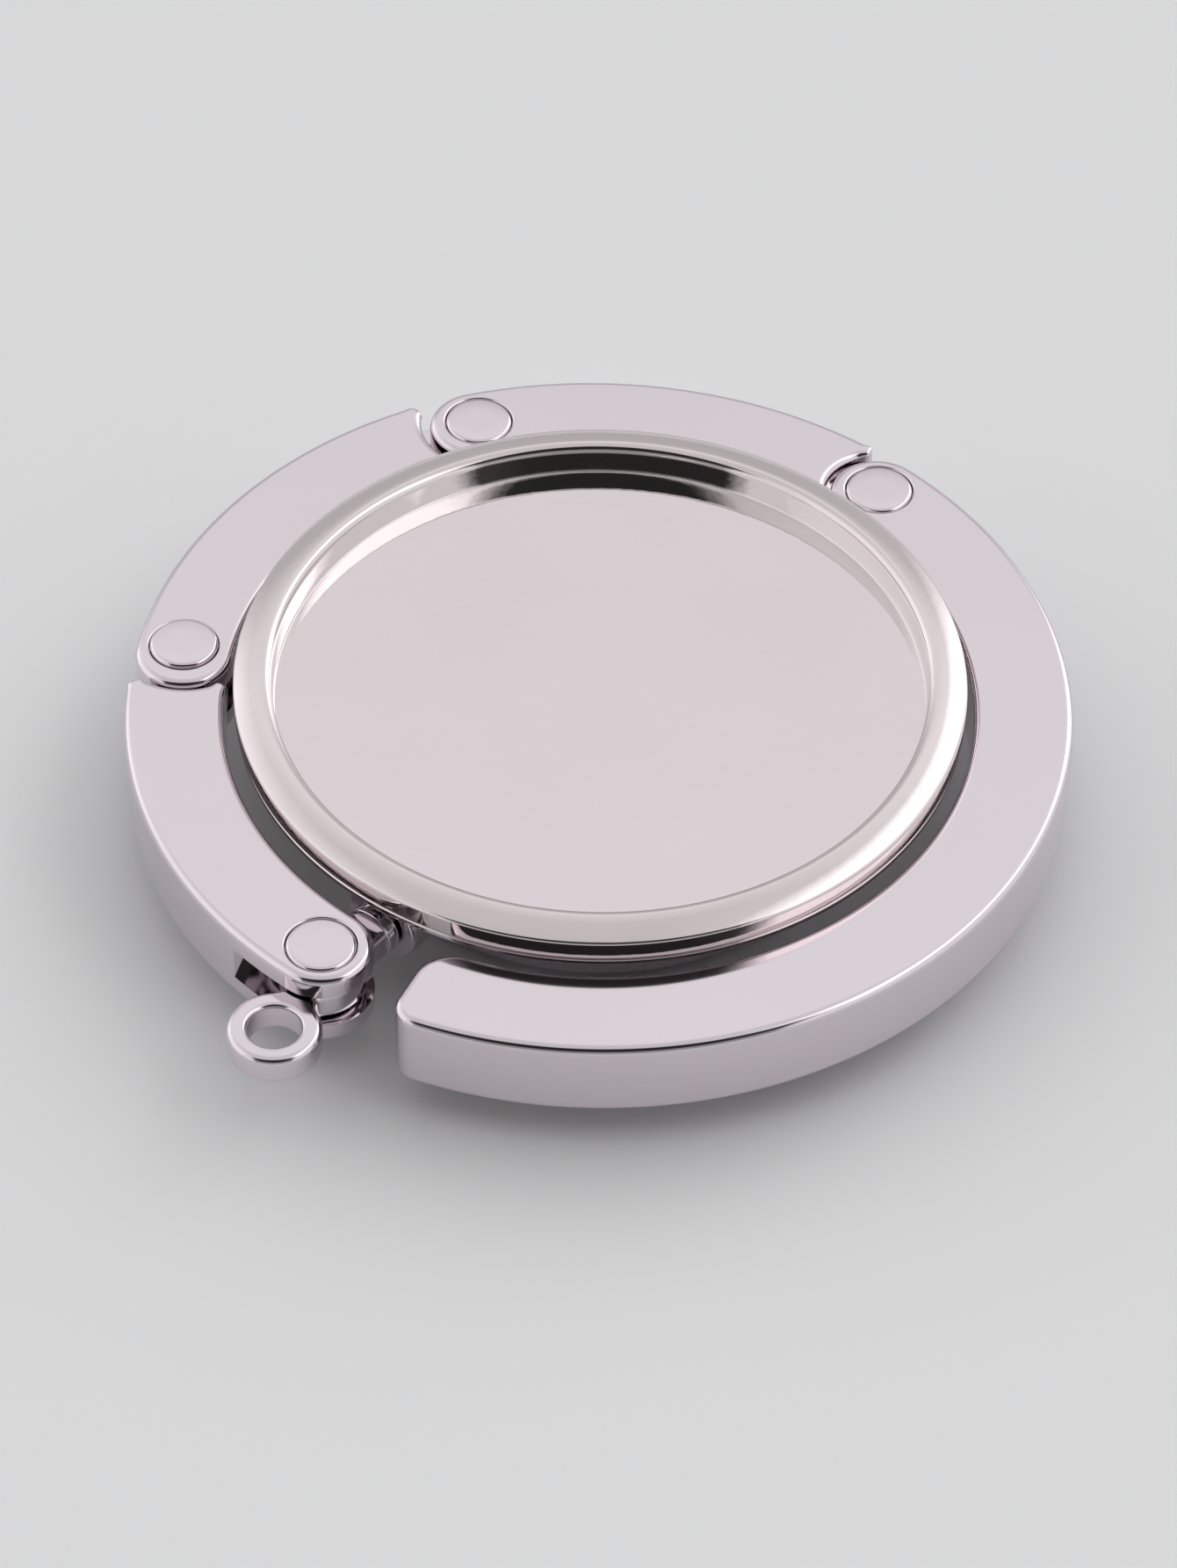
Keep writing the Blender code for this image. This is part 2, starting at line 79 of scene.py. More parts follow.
# Links and rivets, in metres or as shares, where a row of shares has one for each link in order
fork_end_shares = (0.0, 1.0, 0.3, 0.0)
hollow_end_shares = (0.0, 0.0, 1.0)
tongue_root = 0.0013
tongue_edge = 0.00008
low_head_share = 0.2

# Swivel stud, in metres and degrees
eyelet_window = 0.0046
eyelet_window_depth = 0.0021
eyelet_mouth = 0.00024
neck_half = 0.0011
eye_waist = 40.0
eyelet_waist = 38.0
sweep_pull = 0.00075
washer_half = 0.0002
peened_radius = 0.0011
peened_length = 0.0004
turned_edge = 0.00012

# Tray, drum and pad, in metres, degrees and counts; the groove as depth and height above the lip
dome_tilts = (4, 32)
foot_round = 0.00008
innermost_ring = 0.0005
floor_rings = 60
pad_rings = 40
lip_inset = 0.00005
lip_edge = 0.0001
groove_steps = ((0, 0.00018), (0.0001, 0.00012), (0.00028, 0.00004), (0.00028, 0))
# Where the painted sheen on the recess's wall starts and ends, in metres from the recess's foot
painted_wall_sheen_band = (-0.00002, 0.00006)
drum_edge = 0.0003
pad_edge = 0.0002
boss_edge = 0.0002
bore_edge = 0.00005

# Edges of plates, and shading
edge_share = 0.55
least_turn = 0.0001
sharp_angle = 32
flat_face_weight = 90

# Platings, with the peel's height in metres, and how much the rubber's grain lightens
Surface = namedtuple("Surface", "roughness mottle haze peel_scale peel_height")
tray_surface = Surface(0.035, 0.05, 0.02, 1700.0, 0.0000035)
drum_surface = Surface(0.12, 0.04, 0.05, 900.0, 0.000002)
link_surface = Surface(0.07, 0.035, 0.03, 700.0, 0.0000012)
small_surface = Surface(0.09, 0.05, 0.04, 1100.0, 0.0000015)
grain_lighter = 1.8

# Stage: half the floor's side and the point looked at in metres, the photo's height in pixels
floor_reach = 3.0
look_at = (-0.000485, -0.005737)
photo_height = 1785


class PurseHookRing(bpy.types.PropertyGroup):
    """Sizes of the ring of links"""
    pivot_radius: FloatProperty(
        name="Pivot radius", description="Radius of the circle that the hinges lie near",
        default=0.0203, unit="LENGTH")
    inner_half: FloatProperty(
        name="Inner half", description="From the pivot circle to a link's inner wall",
        default=0.00245, unit="LENGTH")
    outer_half: FloatProperty(
        name="Outer half", description="From the pivot circle to a link's outer wall",
        default=0.0023, unit="LENGTH")
    edge_round: FloatProperty(
        name="Edge rounding", description="Width of a link's polished edges",
        default=0.0004, unit="LENGTH")
    plate: FloatProperty(
        name="Fork plate", description="Thickness of each fork plate",
        default=0.00115, unit="LENGTH")
    tongue: FloatProperty(
        name="Tongue", description="Thickness of the tongues and of the stud",
        default=0.00155, unit="LENGTH")
    fork_end_extra: FloatProperty(
        name="Fork end extra", description="How far the second link's round end is set on",
        default=0.00035, unit="LENGTH")
    hollow_gap: FloatProperty(
        name="Hollow end gap", description="From a hinge to the hollow end before it",
        default=0.00285, unit="LENGTH")
    hollow_radius: FloatProperty(
        name="Hollow end radius", description="Radius of a hollow end",
        default=0.0035, unit="LENGTH")
    hollow_nearer: FloatProperty(
        name="Last hollow end nearer", description="How much nearer the third link's is",
        default=0.0002, unit="LENGTH")
    hollow_tighter: FloatProperty(
        name="Last hollow end tighter", description="How much less the third link's radius is",
        default=0.0007, unit="LENGTH")
    inner_corner: FloatProperty(
        name="Inner corner", description="Length that a hollow end's inner corner takes off",
        default=0.0007, unit="LENGTH")
    outer_corner: FloatProperty(
        name="Outer corner", description="Length that a hollow end's outer corner takes off",
        default=0.0011, unit="LENGTH")
    eye_radius: FloatProperty(
        name="Eye radius", description="Radius of a tongue's eye", default=0.002, unit="LENGTH")
    tongue_half_width: FloatProperty(
        name="Tongue half width", description="Half a tongue's width",
        default=0.0015, unit="LENGTH")
    tip_angle: FloatProperty(
        name="Tip angle", description="Plan angle of the hook's free tip",
        subtype="ANGLE", default=math.radians(245.0))
    tip_inner_round: FloatProperty(
        name="Tip inner corner", description="Length that the tip's inner corner takes off",
        default=0.0018, unit="LENGTH")
    tip_outer_round: FloatProperty(
        name="Tip outer corner", description="Length that the tip's outer corner takes off",
        default=0.00125, unit="LENGTH")
    opening: FloatProperty(
        name="Opening", description="Turn that a fork leaves for its tongue",
        subtype="ANGLE", default=math.radians(50.0))


class PurseHookRivets(bpy.types.PropertyGroup):
    """Sizes of the hinge rivets"""
    head_radius: FloatProperty(
        name="Head radius", description="Radius of a rivet's head", default=0.00165, unit="LENGTH")
    head_depth: FloatProperty(
        name="Head depth", description="Depth of a rivet's head in its fork plate",
        default=0.0007, unit="LENGTH")
    shank_radius: FloatProperty(
        name="Shank radius", description="Radius of a rivet's shank", default=0.0009, unit="LENGTH")
    edge_round: FloatProperty(
        name="Edge rounding", description="Radius of a head's polished edge",
        default=0.00022, unit="LENGTH")
    hole_flare: FloatProperty(
        name="Hole flare", description="Rounding of a hole's edge round the head",
        default=0.00012, unit="LENGTH")


class PurseHookTray(bpy.types.PropertyGroup):
    """Sizes of the tray"""
    radius: FloatProperty(
        name="Radius", description="Outer radius of the tray's rim", default=0.01745, unit="LENGTH")
    floor_thickness: FloatProperty(
        name="Floor", description="Thickness of the tray's floor", default=0.00037, unit="LENGTH")
    rim_height: FloatProperty(
        name="Rim height", description="From the floor to the rim's crest",
        default=0.00155, unit="LENGTH")
    rim_width: FloatProperty(
        name="Rim width", description="From the recess's foot to the rim's outer side",
        default=0.0019, unit="LENGTH")
    dome_radius: FloatProperty(
        name="Dome radius", description="Radius of the rim's domed top",
        default=0.0028, unit="LENGTH")
    side_round: FloatProperty(
        name="Side rounding", description="Rounding from the dome to the rim's side",
        default=0.0002, unit="LENGTH")
    crest_round: FloatProperty(
        name="Crest rounding", description="Rounding from the recess to the dome",
        default=0.00044, unit="LENGTH")
    lip: FloatProperty(
        name="Lip", description="Height of the lip below the rim's side",
        default=0.00037, unit="LENGTH")


class PurseHookBase(bpy.types.PropertyGroup):
    """Sizes of the drum, the pad and the swivel stud"""
    drum_radius: FloatProperty(
        name="Drum radius", description="Outer radius of the drum", default=0.0126, unit="LENGTH")
    drum_wall: FloatProperty(
        name="Drum wall", description="Thickness of the drum's wall", default=0.0012, unit="LENGTH")
    drum_top: FloatProperty(
        name="Drum top", description="Thickness of the drum's top", default=0.0005, unit="LENGTH")
    pad_radius: FloatProperty(
        name="Pad radius", description="Radius of the non-slip pad", default=0.012, unit="LENGTH")
    pad_thickness: FloatProperty(
        name="Pad thickness", description="Thickness of the non-slip pad",
        default=0.0014, unit="LENGTH")
    pad_stands_out: FloatProperty(
        name="Pad stands out", description="How far the pad stands out of the drum",
        default=0.0005, unit="LENGTH")
    boss_radius: FloatProperty(
        name="Boss radius", description="Radius of the boss that the swivel turns in",
        default=0.002, unit="LENGTH")
    boss_reach: FloatProperty(
        name="Boss reach", description="From the middle to the boss's face",
        default=0.0164, unit="LENGTH")
    shank_radius: FloatProperty(
        name="Swivel shank", description="Radius of the swivel's shank",
        default=0.0008, unit="LENGTH")
    collar_radius: FloatProperty(
        name="Collar radius", description="Radius of the stud's collar",
        default=0.0013, unit="LENGTH")
    collar_length: FloatProperty(
        name="Collar length", description="Length of the stud's collar",
        default=0.0007, unit="LENGTH")
    eyelet_ahead: FloatProperty(
        name="Eyelet ahead", description="From the first hinge out to the eyelet",
        default=0.0043, unit="LENGTH")
    eyelet_aside: FloatProperty(
        name="Eyelet aside", description="The eyelet's place beside the swivel's line",
        default=0.0008, unit="LENGTH")
    eyelet_radius: FloatProperty(
        name="Eyelet radius", description="Outer radius of the eyelet",
        default=0.0022, unit="LENGTH")
    eyelet_hole: FloatProperty(
        name="Eyelet hole", description="Radius of the eyelet's hole",
        default=0.00125, unit="LENGTH")
    stud_round: FloatProperty(
        name="Stud rounding", description="Width of the stud's polished edges",
        default=0.00034, unit="LENGTH")


class PurseHookFinish(bpy.types.PropertyGroup):
    """Colours and gloss of the pieces"""
    plating: FloatVectorProperty(
        name="Plating", description="Colour of the plated metal",
        subtype="COLOR", size=3, min=0, max=1, default=(0.716, 0.652, 0.684))
    tray: FloatVectorProperty(
        name="Tray", description="Colour of the plating on the tray's floor",
        subtype="COLOR", size=3, min=0, max=1, default=(0.723, 0.656, 0.68))
    # The wall's colour is whiter than the plating: painted sheen that stands in for light bouncing
    # round the recess
    wall: FloatVectorProperty(
        name="Wall", description="Colour of the plating on the recess's wall",
        subtype="COLOR", size=3, min=0, max=1, default=(0.85, 0.826, 0.805))
    rim: FloatVectorProperty(
        name="Rim", description="Colour of the plating on the tray's rim",
        subtype="COLOR", size=3, min=0, max=1, default=(0.723, 0.655, 0.662))
    rubber: FloatVectorProperty(
        name="Rubber", description="Colour of the pad",
        subtype="COLOR", size=3, min=0, max=1, default=(0.03, 0.03, 0.032))
    roughness: FloatProperty(
        name="Roughness", description="Roughness of the links' plating",
        subtype="FACTOR", min=0, max=1, default=link_surface.roughness)


class PurseHookStage(bpy.types.PropertyGroup):
    """The floor and the camera"""
    floor: FloatVectorProperty(
        name="Floor", description="Colour of the floor",
        subtype="COLOR", size=3, min=0, max=1, default=(0.84, 0.84, 0.85))
    elevation: FloatProperty(
        name="Elevation", description="Camera height above the horizon",
        subtype="ANGLE", default=math.radians(45.502))
    roll: FloatProperty(
        name="Roll", description="Turn of the camera about its view",
        subtype="ANGLE", default=math.radians(0.825))
    distance: FloatProperty(
        name="Distance", description="From the camera to the ring's top plane",
        default=0.28, unit="LENGTH")
    focal: FloatProperty(
        name="Focal length", description="Focal length in pixels of the photo's height",
        default=6777.9)


class PurseHookSettings(bpy.types.PropertyGroup):
    """All settings of the purse hook"""
    ring: PointerProperty(type=PurseHookRing)
    rivets: PointerProperty(type=PurseHookRivets)
    tray: PointerProperty(type=PurseHookTray)
    base: PointerProperty(type=PurseHookBase)
    finish: PointerProperty(type=PurseHookFinish)
    stage: PointerProperty(type=PurseHookStage)


def settings():
    """The scene's settings of the purse hook."""
    return bpy.context.scene.purse_hook


def polar(radius, degrees):
    """A plan vector: radius times the cosine and sine of an angle."""
    turn = math.radians(degrees)
    return radius * np.array((math.cos(turn), math.sin(turn)))


def angle_of(vector):
    """A plan vector's angle in degrees: the arctangent of its y over its x."""
    return math.degrees(math.atan2(vector[1], vector[0]))


def arc(centre, radius, start, end, step=2.0):
    """Centre plus radius times the cosine and sine of evenly spaced angles."""
    count = max(3, int(abs(end - start) / step) + 2)
    turn = np.radians(np.linspace(start, end, count))
    return np.asarray(centre) + radius * np.column_stack((np.cos(turn), np.sin(turn)))


def cubic(start, leave, arrive, end, count):
    """The cubic curve start*u^3 + leave*3*u^2*t + arrive*3*u*t^2 + end*t^3, where u is 1 - t."""
    t = np.linspace(0, 1, count)[:, None]
    u = 1 - t
    return start * u ** 3 + leave * 3 * u * u * t + arrive * 3 * u * t * t + end * t ** 3


def corner(start, tip, end, count):
    """A rounded corner: a cubic curve, near to a circle and tangent to both sides."""
    start, tip, end = (np.asarray(p, float) for p in (start, tip, end))
    one, two = tip - start, end - tip
    turn = math.acos(np.clip(one @ two / np.linalg.norm(one) / np.linalg.norm(two), -1, 1))
    pull = 4 / 3 * math.tan(turn / 4) / math.tan(turn / 2)
    return cubic(start, start + (tip - start) * pull, end + (tip - end) * pull, end, count)


def circles_meet(centre_a, radius_a, centre_b, radius_b, near):
    """The crossing of two circles that is nearer to a given point."""
    line = centre_b - centre_a
    gap = np.linalg.norm(line)
    along = (gap ** 2 + radius_a ** 2 - radius_b ** 2) / (2 * gap)
    across = math.sqrt(radius_a ** 2 - along ** 2)
    side = np.array((-line[1], line[0])) / gap
    crossings = [centre_a + line / gap * along + side * across * sign for sign in (1, -1)]
    return min(crossings, key=lambda point: np.linalg.norm(point - near))


def inset(outline, depth):
    """Each point moved inwards along the mitre of its two sides, for an anticlockwise outline."""
    before = outline - np.roll(outline, 1, axis=0)
    after = np.roll(outline, -1, axis=0) - outline
    before /= np.linalg.norm(before, axis=1, keepdims=True)
    after /= np.linalg.norm(after, axis=1, keepdims=True)
    inward = np.column_stack((-before[:, 1] - after[:, 1], before[:, 0] + after[:, 0]))
    return outline + inward * (depth / (1 + (before * after).sum(axis=1)))[:, None]


def edge_widths(outline, edge):
    """The edge's width at each point: a share of the radius where the outline turns outwards.

    Away from such a place the limit grows by half of the way along the outline, up to the edge's
    full width.
    """
    side = np.roll(outline, -1, axis=0) - outline
    length = np.linalg.norm(side, axis=1)
    heading = np.arctan2(side[:, 1], side[:, 0])
    turn = (heading - np.roll(heading, 1) + math.pi) % math.tau - math.pi
    span = (length + np.roll(length, 1)) / 2
    limit = np.where(turn > least_turn, edge_share * span / np.maximum(turn, least_turn), edge)
    along = np.concatenate(([0], np.cumsum(length)))
    apart = np.abs(along[:-1, None] - along[None, :-1])
    apart = np.minimum(apart, along[-1] - apart)
    return np.minimum((limit[None, :] + apart / 2).min(axis=1), edge)


def clean(outline, least=0.00002):
    """The outline without points that lie within the least distance of the one before."""
    gaps = np.linalg.norm(outline - np.roll(outline, 1, axis=0), axis=1)
    return outline[gaps > least]


def anticlockwise(outline):
    """The outline turned round where twice its area, from its cross products, is negative."""
    x, y = outline.T
    area = (x * np.roll(y, -1) - y * np.roll(x, -1)).sum()
    return outline if area > 0 else outline[::-1]


def grid_faces(rows, columns):
    """Quads between the neighbours of a grid whose columns run round and close."""
    row, column = np.meshgrid(np.arange(rows - 1), np.arange(columns), indexing="ij")
    after = (column + 1) % columns
    quads = np.stack((row * columns + column, (row + 1) * columns + column,
                      (row + 1) * columns + after, row * columns + after), axis=-1)
    return quads.reshape(-1, 4).tolist()


def new_mesh(name, points, faces):
    """A new object in the scene whose mesh has these points and faces."""
    mesh = bpy.data.meshes.new(name)
    mesh.from_pydata(np.asarray(points).tolist(), [], faces)
    mesh.validate()
    mesh.update()
    piece = bpy.data.objects.new(name, mesh)
    bpy.context.scene.collection.objects.link(piece)
    return piece


def plate(name, outline, low, high, edge=0.0, steps=6):
    """A plate: one outline at many heights, inset at its edges by a quarter circle, and capped."""
    outline = anticlockwise(clean(outline))
    width = edge_widths(outline, edge) if edge else np.zeros(len(outline))
    turns = np.linspace(0, math.pi / 2, steps + 1) if edge else [math.pi / 2]
    upper = [(width * (1 - math.sin(t)), high - width * (1 - math.cos(t))) for t in turns]
    lower = [(depth, low + high - height) for depth, height in reversed(upper)]
    rings = [np.column_stack((inset(outline, depth), height)) for depth, height in upper + lower]
    count = len(outline)
    points = np.concatenate(rings)
    caps = [list(range(count)), list(range(len(points) - 1, len(points) - count - 1, -1))]
    return new_mesh(name, points, caps + grid_faces(len(rings), count))


def revolved(name, profile, steps, centre=(0, 0)):
    """Each profile point carried round an upright axis: radius times cosine and sine."""
    profile = np.asarray(profile)
    turn = np.linspace(0, math.tau, steps, endpoint=False)
    inner = profile[1:-1]
    x = inner[:, :1] * np.cos(turn) + centre[0]
    y = inner[:, :1] * np.sin(turn) + centre[1]
    z = np.repeat(inner[:, 1:], steps, axis=1)
    points = np.stack((x, y, z), axis=-1).reshape(-1, 3)
    ends = [(centre[0], centre[1], profile[0, 1]), (centre[0], centre[1], profile[-1, 1])]
    points = np.concatenate((points, ends))
    ring = np.arange(steps)
    after = (ring + 1) % steps
    last = (len(inner) - 1) * steps
    fans = np.column_stack((np.full(steps, len(points) - 2), ring, after)).tolist()
    fans += np.column_stack((np.full(steps, len(points) - 1), last + after, last + ring)).tolist()
    return new_mesh(name, points, grid_faces(len(inner), steps) + fans)


def bend(middle, radius, first, last, count):
    """Section points of a rounding: middle plus radius times the tilt's sine and cosine."""
    tilt = np.radians(np.linspace(first, last, count))
    return np.column_stack((middle[0] + radius * np.sin(tilt), middle[1] + radius * np.cos(tilt)))


def disc_side(radius, low, high, edge, count=8):
    """Section points down the side of a disc with rounded edges."""
    return np.concatenate((bend((radius - edge, high - edge), edge, 0, 90, count),
                           bend((radius - edge, low + edge), edge, 90, 180, count)))


def laid_along_swivel(name, profile):
    """A turned piece whose heights become distances from the middle along the swivel's axis."""
    piece = revolved(name, profile, steps=96)
    lie = Matrix.Rotation(math.pi / 2, 4, "Y")
    turn = Matrix.Rotation(math.atan2(swivel_out[1], swivel_out[0]), 4, "Z")
    piece.data.transform(Matrix.Translation((0, 0, axis_height)) @ turn @ lie)
    return piece


def swivel_rod(name, radius, start, end, edge):
    """A round rod with rounded ends along the swivel's axis, between two distances."""
    side = disc_side(radius, start, end, edge, count=7)
    return laid_along_swivel(name, np.concatenate(([(0, end)], side, [(0, start)])))


def stud_rod_section(base):
    """Half section of the stud's turned part: collar, shank and peened end, running inwards."""
    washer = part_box("swivel_washer")
    peened_face = ((washer[0] + washer[1]) / 2).xy.length - washer_half - running_gap
    collar_face = base.boss_reach + seat_gap
    collar_end = collar_face + base.collar_length
    peened_end = peened_face - peened_length
    return np.concatenate((
        [(0, collar_end)],
        disc_side(base.collar_radius, collar_face, collar_end, turned_edge, count=7),
        [(base.shank_radius, collar_face), (base.shank_radius, peened_face)],
        disc_side(peened_radius, peened_end, peened_face, turned_edge, count=7),
        [(0, peened_end)]))


def combine(piece, tool, operation):
    """Cut a tool out of a piece, or join it on, and keep only the result."""
    boolean = piece.modifiers.new(operation.title(), "BOOLEAN")
    boolean.operation = operation
    boolean.solver = "EXACT"
    boolean.object = tool
    bpy.context.view_layer.update()
    graph = bpy.context.evaluated_depsgraph_get()
    mesh = bpy.data.meshes.new_from_object(piece.evaluated_get(graph))
    piece.modifiers.clear()
    old, piece.data = piece.data, mesh
    mesh.name = piece.name
    bpy.data.meshes.remove(old)
    bpy.data.objects.remove(tool)


def polish(piece, material):
    """Smooth shading whose flat faces stay flat: sharp edges by angle, area-weighted normals."""
    piece.data.materials.clear()
    piece.data.materials.append(material)
    piece.data.shade_smooth()
    piece.data.set_sharp_from_angle(angle=math.radians(sharp_angle))
    weighted = piece.modifiers.new("Flat faces", "WEIGHTED_NORMAL")
    weighted.keep_sharp = True
    weighted.weight = flat_face_weight
    return piece


def place(piece, body, *nodes):
    """Let a piece ride on a body and stand for its CAD nodes."""
    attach(piece, body)
    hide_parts(*nodes)
    return piece


class Pivot:
    """Plan axes at a hinge: ahead leaves a link's fork end, outward leaves the ring."""

    def __init__(self, centre, pivot):
        self.pivot = pivot
        self.outward = (pivot - centre) / np.linalg.norm(pivot - centre)
        self.ahead = np.array((-self.outward[1], self.outward[0]))

    def point(self, ahead, outward):
        """The hinge's place plus a way ahead and a way outward."""
        return self.pivot + self.ahead * ahead + self.outward * outward


def link_centre(index, ring):
    """Where a link's arc has its centre: one pivot radius from both of its hinges."""
    start = pivots[index]
    if index == len(pivots) - 1:
        return start - start / np.linalg.norm(start) * ring.pivot_radius
    return circles_meet(start, ring.pivot_radius, pivots[index + 1], ring.pivot_radius,
                        np.zeros(2))


def walls(ring):
    """The radii of a link's inner and outer walls."""
    return ring.pivot_radius - ring.inner_half, ring.pivot_radius + ring.outer_half


def link_outline(index, ring):
    """Outer arc, round fork end, inner arc, and then the hollow end or the free tip."""
    centre = link_centre(index, ring)
    inner_radius, outer_radius = walls(ring)
    end_radius = (outer_radius - inner_radius) / 2
    turn = angle_of(pivots[index] - centre)
    turn += math.degrees(ring.fork_end_extra * fork_end_shares[index] / ring.pivot_radius)
    fork = arc(centre + polar(inner_radius + end_radius, turn), end_radius, turn, turn + 180,
               step=4)
    hooked = index == len(pivots) - 1
    far = free_tip(centre, ring) if hooked else hollow_end(centre, index, ring)
    outer = wall(centre, far[-1], fork[0], 1)
    inner = wall(centre, fork[-1], far[0], -1)
    return np.concatenate((outer, fork, inner, far))


def wall(centre, start, end, direction):
    """The points between two places on one circle, going the given way round."""
    radius, first = np.linalg.norm(start - centre), angle_of(start - centre)
    sweep = (direction * (angle_of(end - centre) - first)) % 360
    return arc(centre, radius, first, first + direction * sweep, step=0.6)[1:-1]


def hollow_end(centre, index, ring):
    """An arc that curves in, with rounded corners, facing the next link's round end."""
    at = Pivot(centre, pivots[index + 1])
    inner_radius, outer_radius = walls(ring)
    gap = ring.hollow_gap - ring.hollow_nearer * hollow_end_shares[index]
    radius = ring.hollow_radius - ring.hollow_tighter * hollow_end_shares[index]
    middle = at.point(gap - radius, 0)
    near = at.point(gap, 0)
    inner = circles_meet(middle, radius, centre, inner_radius, near)
    outer = circles_meet(middle, radius, centre, outer_radius, near)
    from_angle = angle_of(inner - middle)
    to_angle = from_angle - (from_angle - angle_of(outer - middle)) % 360
    on_inner = centre + polar(inner_radius, angle_of(inner - centre)
                              + math.degrees(ring.inner_corner / inner_radius))
    on_outer = centre + polar(outer_radius, angle_of(outer - centre)
                              + math.degrees(ring.outer_corner / outer_radius))
    face = arc(middle, radius, from_angle - math.degrees(ring.inner_corner / radius),
               to_angle + math.degrees(ring.outer_corner / radius))
    return np.concatenate((corner(on_inner, inner, face[0], count=9), face[1:-1],
                           corner(face[-1], outer, on_outer, count=13)))


def free_tip(centre, ring):
    """A square end with a large inner and a smaller outer corner."""
    inner_radius, outer_radius = walls(ring)
    tip = math.degrees(ring.tip_angle)
    inner, outer = centre + polar(inner_radius, tip), centre + polar(outer_radius, tip)
    across = (outer - inner) / np.linalg.norm(outer - inner)
    on_inner = centre + polar(inner_radius,
                              tip + math.degrees(ring.tip_inner_round / inner_radius))
    on_outer = centre + polar(outer_radius,
                              tip + math.degrees(ring.tip_outer_round / outer_radius))
    return np.concatenate((
        corner(on_inner, inner, inner + across * ring.tip_inner_round, count=17),
        corner(outer - across * ring.tip_outer_round, outer, on_outer, count=13)))


def tongue_outline(index, ring):
    """An eye round the next hinge on a neck that runs back into the link."""
    at = Pivot(link_centre(index, ring), pivots[index + 1])
    root = ring.hollow_gap + tongue_root
    half = ring.tongue_half_width
    lean = math.degrees(math.asin(half / ring.eye_radius))
    turn = angle_of(at.ahead)
    eye = arc(at.pivot, ring.eye_radius, turn + lean, turn + 360 - lean, step=4)
    return np.concatenate(([at.point(root, -half)], eye, [at.point(root, half)]))


def slot_outline(index, ring):
    """The room that a fork leaves for its tongue, from stop face to open end."""
    at = Pivot(link_centre(index, ring), pivots[index])
    pocket = ring.eye_radius + slot_gap
    outer_reach, inner_reach = ring.outer_half + overrun, ring.inner_half + overrun
    end = ring.inner_half + ring.fork_end_extra + overrun
    if index == 0:
        stop_start = at.point(-eyelet_window, outer_reach)
        stop_angle = angle_of(at.point(-pocket, ring.outer_half - eyelet_window_depth) - at.pivot)
    else:
        along = at.ahead * math.cos(ring.opening) + at.outward * math.sin(ring.opening)
        across = at.ahead * math.sin(ring.opening) - at.outward * math.cos(ring.opening)
        flank = ring.tongue_half_width + running_gap
        stop_end = at.pivot - across * flank + along * math.sqrt(pocket ** 2 - flank ** 2)
        stop_start = stop_end + along * (overrun + tongue_root)
        stop_angle = angle_of(stop_end - at.pivot)
    inner_angle = angle_of(at.point(-pocket, -pocket) - at.pivot)
    sweep = (stop_angle - inner_angle) % 360
    back = arc(at.pivot, pocket, stop_angle, stop_angle - sweep, step=4)
    tail = [back[-1] - at.outward * inner_reach, at.point(end, -inner_reach)]
    return np.concatenate(([at.point(end, outer_reach + overrun), stop_start], back, tail))


def mirrored(upper):
    """A section's upper half, then the same points turned over about the links' mid height."""
    lower = np.column_stack((upper[::-1, 0], link_bottom + link_top - upper[::-1, 1]))
    return np.concatenate((upper, lower))


def rivet_section(rivets, rise):
    """Half section of a rivet: two rounded heads on a shank, the lower one standing out less."""
    edge, head = rivets.edge_round, rivets.head_radius
    top = [(0, link_top + rise), ((head - edge) / 2, link_top + rise)]
    rounding = bend((head - edge, link_top + rise - edge), edge, 0, 90, count=8)
    shoulder = link_top - rivets.head_depth
    section = mirrored(np.concatenate((
        top, rounding, [(head, shoulder), (rivets.shank_radius, shoulder)])))
    low = section[:, 1] < link_bottom
    section[low, 1] = link_bottom + (section[low, 1] - link_bottom) * low_head_share
    return section


def rivet_hole_section(rivets):
    """Half section of a rivet's hole in the fork: rounded mouth, head's seat and shank's bore."""
    head, flare = rivets.head_radius + rivet_gap, rivets.hole_flare
    mouth = bend((head + flare, link_top - flare), flare, 0, -90, count=7)
    seat = link_top - rivets.head_depth - rivet_gap
    bore = rivets.shank_radius + rivet_gap
    above = [(0, link_top + overrun), (head + flare, link_top + overrun)]
    return mirrored(np.concatenate((above, mouth, [(head, seat), (bore, seat)])))


def eye_bore(rivets, pivot):
    """The bore of an eye round a rivet's shank, as high as the links."""
    bore = rivets.shank_radius + running_gap
    profile = [(0, link_top), (bore, link_top), (bore, link_bottom), (0, link_bottom)]
    return revolved("eye", profile, steps=64, centre=pivot)


